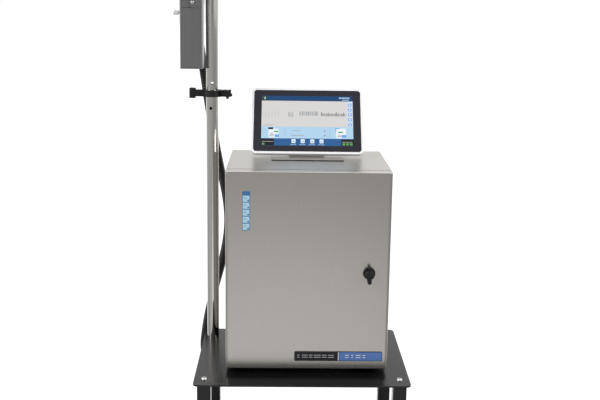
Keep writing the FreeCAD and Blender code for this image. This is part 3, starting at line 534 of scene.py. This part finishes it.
# ---- touch panel screen ----
# Colour and glow of the screen's parts.
SCREEN_LOOKS = {
    "deep_blue": ((0.022, 0.10, 0.27), 0.8),
    "header_blue": ((0.008, 0.055, 0.16), 0.7),
    "bright_blue": ((0.16, 0.34, 0.72), 0.8),
    "pale_blue": ((0.39, 0.58, 0.74), 0.8),
    "white": ((0.74, 0.80, 0.86), 0.8),
    "column": ((0.55, 0.64, 0.74), 0.8),
    "grey": ((0.30, 0.31, 0.33), 0.8),
    "dark": ((0.02, 0.02, 0.025), 0.2),
    "green": ((0.10, 0.32, 0.08), 0.8),
    "forest": ((0.02, 0.09, 0.04), 0.6),
    "tan": ((0.55, 0.53, 0.42), 0.8),
}
# Heights of the picture's layers above the display, in hundredths of a millimetre.
FIELD, MARK, TOP = 2, 4, 6


def screen_place():
    """Place function of the screen: u and v from its lower left corner, w towards the viewer."""
    low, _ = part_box("panel_display")
    thickness = 0.3 * MM
    corner = Vector((low.x, low.y, low.z + thickness * math.sin(PANEL_LEAN)))
    return axes_place(corner, X_WAY, PANEL_UP, -PANEL_BACKWARDS)


def screen_piece(name, rectangles, material, layer, radius=0.0):
    """Flat tiles on the screen, given as (u0, v0, u1, v1) in millimetres."""
    place = screen_place()
    shape = bmesh.new()
    base, top = 0.002 * MM, 0.01 * MM * layer
    for rectangle in rectangles:
        edges = [value * MM for value in rectangle]
        outline = rounded_outline(*edges, radius * MM) if radius else tile_outline(*edges)
        add_slab(shape, outline, place, base, top)
    piece(name, shape, material, "touch_panel")


def make_screen():
    """The panel's picture: bars, panels, keys and marks without any words. Sizes are in millimetres."""
    width, height = SCREEN_W / MM, SCREEN_H / MM
    bar_low, page_low, bar_high, side_left = 20.7, 54.5, height - 15.0, 225.5
    colours = {name: glowing("screen_" + name, *look) for name, look in SCREEN_LOOKS.items()}
    white, pale, bright, dark = (colours[name] for name in ("white", "pale_blue", "bright_blue", "dark"))
    screen_piece("screen_low_bar", [(0, 0, width, bar_low)], colours["deep_blue"], FIELD)
    screen_piece("screen_top_bar", [(0, bar_high, width, height)], colours["header_blue"], FIELD)
    screen_piece("screen_lower_panel", [(0, bar_low, width, page_low)], pale, FIELD)
    screen_piece("screen_side_column", [(side_left, page_low, width, bar_high)], colours["column"], FIELD)
    screen_piece("screen_dividers", [(62, 25, 62.8, 51), (179, 25, 179.8, 51)], bright, MARK)
    make_screen_keys(white, pale, bright)
    make_screen_marks(dark, colours["grey"])
    make_screen_pictures(white, bright, dark, colours["green"])
    boxes = [(0, 0.6, 33.5, 19.5), (209, 0.6, width, 19.5)]
    screen_piece("screen_status_boxes", boxes, dark, MARK)
    trims = [(2, 10.6, 31.5, 12.2), (211, 10.6, 238, 12.2)]
    screen_piece("screen_status_trim", trims, colours["grey"], TOP)
    lamps = [(1.8, 2.2, 9.0, 7.4), (212, 2.2, 219.5, 8.6), (222, 2.2, 229, 8.6), (231.5, 2.2, 238.5, 8.6)]
    screen_piece("screen_lamps", lamps, colours["green"], TOP, radius=1.5)
    home = [(2, bar_high + 1.2, 14, height - 1.2)]
    screen_piece("screen_home", home, colours["forest"], MARK, radius=1.0)
    screen_piece("screen_home_mark", [(7.2, bar_high + 4.5, 9.4, height - 4)], white, TOP)
    clock = [(205 + 3.6 * k, bar_high + 7.4, 207.4 + 3.6 * k, height - 3) for k in range(8)]
    clock += [(214 + 3.0 * k, bar_high + 2, 216 + 3.0 * k, bar_high + 5.2) for k in range(6)]
    screen_piece("screen_clock_marks", clock, pale, MARK)
    screen_piece("screen_page_tint", [(12, 96, 46, 97), (12, 80, 46, 81)], colours["tan"], MARK)


def make_screen_keys(white, pale, bright):
    """Icons in the side column and the row of keys with their captions."""
    icons = [(228, v - 4.2, 238, v + 4.2) for v in (119, 105, 91, 76, 61.5)]
    screen_piece("screen_side_icons", icons, bright, MARK, radius=2.0)
    hollows = [(u0 + 2.4, v0 + 2.4, u1 - 2.4, v1 - 2.4) for u0, v0, u1, v1 in icons]
    screen_piece("screen_side_icon_centres", hollows, white, TOP, radius=1.2)
    places = (84.5, 108.5, 133.5, 157.5)
    keys = [(u - 5.2, 7.5, u + 5.2, 18.5) for u in places]
    screen_piece("screen_keys", keys, white, MARK, radius=1.2)
    captions = [(u - 8.5 + 2.3 * k, 2.2, u - 7.1 + 2.3 * k, 4.4) for u in places for k in range(7)]
    screen_piece("screen_key_captions", captions, pale, MARK)
    inner = [(u0 + 1.8, v0 + 2, u1 - 1.8, v1 - 3.6) for u0, v0, u1, v1 in keys]
    screen_piece("screen_key_marks", inner, pale, TOP)


def make_screen_marks(dark, grey):
    """The print preview: plain bars, a square of cells and rows of strokes that spell nothing."""
    cells = []
    for row in range(7):
        for column in range(7):
            if column == 0 or row == 0 or (row * 3 + column * 5 + row * column) % 4 < 2:
                u, v = 70.5 + column * 1.95, 84.0 + row * 1.95
                cells.append((u, v, u + 1.6, v + 1.6))
    screen_piece("screen_cell_mark", cells, grey, MARK)
    bars = []
    u = 100.0
    for k, width in enumerate((2.4, 1.0, 3.2, 1.2, 1.2, 2.6, 1.0, 3.4, 1.6, 1.0, 2.8, 1.2, 2.0, 3.4)):
        bars.append((u, 87, u + width, 99))
        u += width + (1.1, 2.2, 1.4)[k % 3]
    screen_piece("screen_bar_mark", bars, grey, MARK)
    strokes = []
    u = 157.0
    for k, tall in enumerate((12, 8, 8, 10, 8, 8, 12, 8, 8, 11)):
        strokes.append((u, 86, u + 1.5, 86 + tall))
        strokes.append((u + 3.2, 86, u + 4.4, 86 + 8))
        u += (6.6, 7.2, 5.9)[k % 3]
    screen_piece("screen_stroke_mark", strokes, dark, MARK)
    faint = [(9 + 9 * k, 84, 9.7 + 9 * k, 97) for k in range(5)]
    faint += [(6 + 3.1 * k, 58, 8.4 + 3.1 * k, 59.6) for k in range(9)]
    faint += [(80 + 2.9 * k, 41.5, 82.1 + 2.9 * k, 44) for k in range(8)]
    faint += [(78 + 2.9 * k, 28, 80.1 + 2.9 * k, 30.6) for k in range(12)]
    faint += [(163, 41, 169, 44.5), (163, 27.8, 169, 31.4)]
    screen_piece("screen_faint_marks", faint, grey, MARK)


def make_screen_pictures(white, bright, dark, green):
    """Two small pictures of a page and a print key."""
    screen_piece("screen_pages", [(19, 23, 45, 48), (196, 23, 222, 50)], white, MARK, radius=1.5)
    screen_piece("screen_page_tabs", [(18, 46.5, 31, 52)], dark, TOP)
    screen_piece("screen_page_frames", [(194, 42, 196.6, 51), (194, 49, 205, 51.4), (35, 24, 46.5, 32),
                                        (210, 24, 223, 32)], bright, TOP)
    lines = [(22, 27, 33, 28.2), (22, 31, 33, 32.2), (22, 35, 31, 36.2), (200, 27, 209, 28.4),
             (200, 31, 208, 32.2)]
    screen_piece("screen_page_lines", lines, dark, TOP)
    screen_piece("screen_page_ticks", [(33, 38, 44, 42), (201, 37.5, 214, 41.5)], green, TOP, radius=1.0)


# ---- door furniture ----
def door_tile_place(node):
    """Place function on a thin piece of the door's front, from its lower left corner, and its size."""
    low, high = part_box(node)
    return facing(low, (0, -1, 0)), high.x - low.x, high.z - low.z


def make_status_strip():
    """Blue strip with a header and five cells, each with two plain marks and a lens."""
    place, width, height = door_tile_place("status_strip")
    pale = paint("strip_pale", (0.36, 0.55, 0.66), 0.3, tone=0.04)
    mark = paint("strip_mark", (0.20, 0.38, 0.50), 0.3, tone=0.04)
    deep = paint("strip_deep", (0.035, 0.12, 0.28), 0.3, tone=0.05)
    lens = paint("strip_lens", (0.012, 0.02, 0.03), 0.12, tone=0.1, bump=0.0)
    sunk, skin_high, mark_high = -0.3 * MM, 0.08 * MM, 0.14 * MM
    lowest, pitch, tall = 2.0, 17.2, 14.8
    header, cells, icons, lenses = bmesh.new(), bmesh.new(), bmesh.new(), bmesh.new()
    top = rounded_outline(1.2 * MM, height - 9 * MM, width - 1.2 * MM, height - 1 * MM, 1 * MM)
    add_slab(header, top, place, sunk, skin_high)
    for cell in range(5):
        v = (lowest + cell * pitch) * MM
        cell_edge = rounded_outline(1.4 * MM, v, width - 1.4 * MM, v + tall * MM, 1.2 * MM)
        add_slab(cells, cell_edge, place, sunk, skin_high)
        drop = rounded_outline(3.6 * MM, v + 6.4 * MM, 7.6 * MM, v + 11.4 * MM, 1.6 * MM)
        add_slab(icons, drop, place, 0.0, mark_high)
        stroke = rounded_outline(9.0 * MM, v + 5.6 * MM, 10.4 * MM, v + 12.2 * MM, 0.6 * MM)
        add_slab(icons, stroke, place, 0.0, mark_high)
        centre = place(14.2 * MM, v + 3.0 * MM, 0.0)
        dome = [(1.9 * MM, sunk), (1.9 * MM, 0.2 * MM), (1.3 * MM, 0.5 * MM), (0.5 * MM, 0.6 * MM)]
        add_lathe(lenses, dome, facing(centre, (0, -1, 0)), 16)
    piece("strip_header", header, deep, "door")
    piece("strip_cells", cells, pale, "door")
    piece("strip_icons", icons, mark, "door")
    piece("strip_lenses", lenses, lens, "door", smooth=True)


def make_badge():
    """Two-tone nameplate with plain raised bars where a name would stand."""
    place, width, height = door_tile_place("badge")
    blue_paint = paint("badge_blue", (0.062, 0.145, 0.38), 0.3, tone=0.05, bump=0.02)
    silver = paint("badge_silver", (0.72, 0.72, 0.74), 0.4, 0.3, grain=(4, 200, 200))
    dull = paint("badge_dull", (0.44, 0.44, 0.45), 0.4, 0.3, grain=(4, 200, 200))
    edge, sunk, field_high, bar_high = 1.3 * MM, -0.4 * MM, 0.12 * MM, 0.2 * MM
    middle = 0.5 * width
    blue, trim, faint = bmesh.new(), bmesh.new(), bmesh.new()
    field = rounded_outline(middle + 1.6 * MM, edge, width - edge, height - edge, 2 * MM)
    add_slab(blue, field, place, sunk, field_high)
    divider = rounded_outline(middle - 0.8 * MM, edge, middle + 0.8 * MM, height - edge, 0.3 * MM)
    add_slab(trim, divider, place, sunk, bar_high)
    for u, long in ((17, 9), (32, 5), (43, 12), (60, 7)):
        left = middle + u * MM
        for v in (8.6 * MM, 14.6 * MM):
            bar = rounded_outline(left, v, left + long * MM, v + 1.6 * MM, 0.7 * MM)
            add_slab(trim, bar, place, sunk, bar_high)
    for u, long in ((7, 6), (19, 14), (36, 9), (48, 17), (68, 12), (83, 15)):
        for v in (9.0 * MM, 14.4 * MM):
            bar = rounded_outline(u * MM, v, (u + long) * MM, v + 1.4 * MM, 0.6 * MM)
            add_slab(faint, bar, place, sunk, bar_high)
    piece("badge_blue_field", blue, blue_paint, "door")
    piece("badge_trim", trim, silver, "door")
    piece("badge_bars", faint, dull, "door")


# ---- small fittings ----
def add_screw(shape, centre, out, radius, height):
    """Pan head with a round socket in its middle."""
    profile = [(1.0, -0.2), (1.0, 0.5), (0.9, 0.85), (0.65, 1.0), (0.45, 1.0), (0.4, 0.35), (0.05, 0.3)]
    add_lathe(shape, [(radius * wide, height * high) for wide, high in profile], facing(centre, out), 20)


def screw_set(name, centres, out, radius, material, body):
    """Equal screw heads as one piece. Sizes and places are in millimetres."""
    shape = bmesh.new()
    for centre in centres:
        add_screw(shape, [value * MM for value in centre], out, radius * MM, 0.55 * radius * MM)
    piece(name, shape, material, body)


def make_knurl(material):
    """Straight knurl round the thumbscrew's head."""
    low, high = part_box("head_thumbscrew")
    middle = Vector((low.x, (low.y + high.y) / 2, (low.z + high.z) / 2))
    shape = bmesh.new()
    count, root, tip = 28, 6.5 * MM, 7.2 * MM
    flank = tile_outline(1.8 * MM, -0.42 * MM, 12.8 * MM, 0.42 * MM)
    for tooth in range(count):
        angle = 2 * math.pi * tooth / count
        out = Vector((0, math.cos(angle), math.sin(angle)))
        across = Vector((0, -math.sin(angle), math.cos(angle)))
        add_slab(shape, flank, axes_place(middle, X_WAY, across, out), root, tip)
    piece("thumbscrew_knurl", shape, material, "carriage")


def inset_corners(node, inset_x, inset_z, y):
    """Four points on the plane y, set in from the corners of a node's box."""
    low, high = box_mm(node)
    return [(x, y, z) for x in (low.x + inset_x, high.x - inset_x)
            for z in (low.z + inset_z, high.z - inset_z)]


def make_cabinet_fittings(materials):
    """Screw heads on the cabinet's back and on what stands inside it."""
    steel, backwards, forwards = materials["fastener_steel"], (0, 1, 0), (0, -1, 0)
    low, high = box_mm("cabinet_body")
    around_fan = inset_corners("fan_frame", 3.94, 3.94, high.y + 3.6)
    screw_set("fan_guard_screws", around_fan, backwards, 3.2, steel, "root")
    inlet_low, inlet_high = box_mm("mains_inlet")
    inlet_ends = [(inlet_low.x + 4.5, inlet_high.y, inlet_high.z - 5),
                  (inlet_high.x - 4.5, inlet_high.y, inlet_low.z + 5)]
    screw_set("inlet_screws", inlet_ends, backwards, 2.2, steel, "root")
    heights = (low.z + 15, low.z + 247, high.z - 13)
    edges = [(x, high.y, z) for x in (low.x + 12.5, high.x - 12.5) for z in heights]
    screw_set("back_screws", edges, backwards, 3.5, steel, "root")
    plate_front = box_mm("mounting_plate")[0].y
    plate_corners = inset_corners("mounting_plate", 10.5, 7, plate_front)
    screw_set("plate_screws", plate_corners, forwards, 3.5, steel, "root")
    board_corners = inset_corners("controller_board", 5.5, 7, BOARD_FRONT_Y)
    screw_set("board_screws", board_corners, forwards, 3.0, steel, "root")
    supply, _ = box_mm("power_supply")
    terminals = [(supply.x + 9.5 + 12.5 * k, supply.y, supply.z + 7) for k in range(7)]
    screw_set("supply_terminals", terminals, forwards, 3.2, steel, "root")


# Parts on the controller board, in millimetres: chips as (x, z, width, height), capacitors as
# (x, z, radius, length) and the left ends of the resistor rows as (x, z).
BOARD_CHIPS = [
    (-80, 1010, 22, 22), (-48, 1030, 14, 14), (-72, 975, 12, 18), (-48, 965, 10, 14),
    (44, 1034, 16, 10), (70, 1030, 18, 18), (52, 985, 12, 24), (82, 975, 14, 14),
]
BOARD_CAPACITORS = [
    (-96, 980, 4, 9), (-96, 966, 4, 9), (6, 1044, 5, 12), (20, 1044, 5, 12), (96, 1004, 5, 12),
    (38, 958, 4, 9), (96, 956, 4, 9),
]
BOARD_RESISTOR_ROWS = [(-86, 950), (-30, 1038), (34, 1010), (60, 1008), (66, 950)]


def board_place(x, z):
    """Place function of a part on the board's front. The place is in millimetres."""
    return facing((x * MM, BOARD_FRONT_Y * MM, z * MM), (0, -1, 0))


def make_board_parts(materials):
    """Chips, capacitors and resistors on the controller board's front."""
    sunk, chip_high, bead_high = -0.1 * MM, 2.2 * MM, 0.9 * MM
    chips, cans, beads = bmesh.new(), bmesh.new(), bmesh.new()
    for x, z, wide, tall in BOARD_CHIPS:
        half_u, half_v = wide / 2 * MM, tall / 2 * MM
        outline = rounded_outline(-half_u, -half_v, half_u, half_v, 0.6 * MM, 2)
        add_slab(chips, outline, board_place(x, z), sunk, chip_high)
    for x, z, radius, tall in BOARD_CAPACITORS:
        profile = [(radius, -0.1), (radius, tall - 0.6), (radius - 0.7, tall), (0.3, tall)]
        add_lathe(cans, [(wide * MM, high * MM) for wide, high in profile], board_place(x, z), 20)
    bead, bead_pitch = tile_outline(-0.8 * MM, -1.7 * MM, 0.8 * MM, 1.7 * MM), 4.4
    for row, (x, z) in enumerate(BOARD_RESISTOR_ROWS):
        for k in range(5 + row % 2):
            add_slab(beads, bead, board_place(x + bead_pitch * k, z), sunk, bead_high)
    piece("board_chips", chips, materials["black_plastic"], "root")
    piece("board_capacitors", cans, materials["zinc"], "root")
    piece("board_resistors", beads, materials["carriage_alloy"], "root")


def make_labels(materials):
    """Plain labels with bars where words would stand: the rating plate, the supply's and the bottle's."""
    bars, fields = bmesh.new(), bmesh.new()
    bar_shares, margin, bar_tall = (0.9, 0.6, 0.75, 0.5, 0.66), 4 * MM, 1.6 * MM
    back_y, supply_front_y = box_mm("cabinet_body")[1].y, box_mm("power_supply")[0].y
    plates = [((20, back_y, 1040), (0, 1, 0), 70, 40), ((65, supply_front_y, 830), (0, -1, 0), 50, 60)]
    for centre, out, wide, tall in plates:
        place = facing([value * MM for value in centre], out)
        half_u, half_v = wide / 2 * MM, tall / 2 * MM
        field = rounded_outline(-half_u, -half_v, half_u, half_v, 2 * MM)
        add_slab(fields, field, place, -0.1 * MM, 0.2 * MM)
        left = margin - half_u
        for row, share in enumerate(bar_shares, start=1):
            v = half_v - 7 * row * MM
            right = left + share * 2 * (half_u - margin)
            add_slab(bars, tile_outline(left, v, right, v + bar_tall), place, 0.0, 0.3 * MM)
    label_paint = paint("label_silver", (0.6, 0.6, 0.6), 0.4, 0.4, grain=(4, 200, 200))
    piece("plain_labels", fields, label_paint, "root")
    piece("plain_label_bars", bars, materials["black_plastic"], "root")
    make_bottle_label(materials)


def make_bottle_label(materials):
    """Wrapped label on the ink bottle, with a band and level marks."""
    low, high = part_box("ink_bottle")
    middle_x, middle_y = (low.x + high.x) / 2, (low.y + high.y) / 2
    radius = (high.x - low.x) / 2 - 4 * MM
    inner, field_outer, band_outer = radius - 0.4 * MM, radius + 0.15 * MM, radius + 0.25 * MM

    place = axes_place(Vector((middle_x, middle_y, 0)), X_WAY, Y_WAY, Z_WAY)

    def wrap(shape, start, stop, outer, low_z, high_z):
        """Curved tile from one angle to another, in degrees round the bottle, 270 at its front."""
        steps = max(2, int((stop - start) / 5))
        angles = [math.radians(start + (stop - start) * k / steps) for k in range(steps + 1)]
        outline = [(outer * math.cos(a), outer * math.sin(a)) for a in angles]
        outline += [(inner * math.cos(a), inner * math.sin(a)) for a in reversed(angles)]
        add_slab(shape, outline, place, low_z * MM, high_z * MM)

    field, band = bmesh.new(), bmesh.new()
    left_edge, right_edge = 190, 350
    wrap(field, left_edge, right_edge, field_outer, 650, 735)
    wrap(band, left_edge, right_edge, band_outer, 712, 728)
    for mark in range(6):
        low_z = 660 + 8 * mark
        wrap(band, 200, 208 + 6 * (mark % 2), band_outer, low_z, low_z + 1.4)
    piece("bottle_label", field, materials["panel_white"], "root")
    piece("bottle_label_marks", band, materials["cap_blue"], "root")


def make_panel_back(materials):
    """Vent slots, corner screws and a plain connector cover on the touch panel's back."""
    panel_foot = Vector((47.5 * MM, 56.0 * MM, 1124.0 * MM))
    sunk, panel_depth = -0.4 * MM, 34 * MM
    place = axes_place(panel_foot + PANEL_BACKWARDS * panel_depth, X_WAY, PANEL_UP, PANEL_BACKWARDS)
    slots, slot_pitch = 13, 7
    vents, cover, screws = bmesh.new(), bmesh.new(), bmesh.new()
    for k in range(slots):
        u = slot_pitch * (k - (slots - 1) / 2) * MM
        slot = rounded_outline(u - 1.5 * MM, 112 * MM, u + 1.5 * MM, 140 * MM, 1.4 * MM)
        add_slab(vents, slot, place, sunk, 0.15 * MM)
    lid = rounded_outline(-30 * MM, 36 * MM, 30 * MM, 58 * MM, 3 * MM)
    add_slab(cover, lid, place, sunk, 1.2 * MM)
    for u in (-104, 104):
        for v in (38, 142):
            add_screw(screws, place(u * MM, v * MM, 0), PANEL_BACKWARDS, 3 * MM, 1.5 * MM)
    piece("panel_vents", vents, materials["black_plastic"], "touch_panel")
    piece("panel_connector_cover", cover, materials["black_plastic"], "touch_panel")
    piece("panel_back_screws", screws, materials["fastener_steel"], "touch_panel")


def make_bracket_shade_edge(material):
    """Black strip along the front edge of the panel bracket's black foot pad: painted shade standing in for
    the foot's shadowed front edge.
    """
    low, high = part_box("bracket_pad_sheet")
    shape = bmesh.new()
    left, right = low.x + 0.5 * MM, high.x - 0.5 * MM
    outline = rounded_outline(left, low.z + 0.1 * MM, right, low.z + 2.6 * MM, 0.6 * MM, 2)
    upright = axes_place(Vector((0, 0, 0)), X_WAY, Z_WAY, Y_WAY)
    # Painted shade: a black strip where the foot's front edge lies in shadow.
    add_slab(shape, outline, upright, low.y - 0.6 * MM, low.y + 0.45 * MM)
    piece("bracket_painted_shade_edge", shape, material, "root")


make_camera()
make_studio()
materials = make_materials()
dress_frame(materials)
rails, hose_length = make_umbilical(materials)
make_boots(materials["gasket_black"], rails, hose_length)
make_screen()
make_status_strip()
make_badge()
make_knurl(materials["thumbscrew_alloy"])
make_cabinet_fittings(materials)
make_board_parts(materials)
make_labels(materials)
make_panel_back(materials)
make_bracket_shade_edge(materials["gasket_black"])
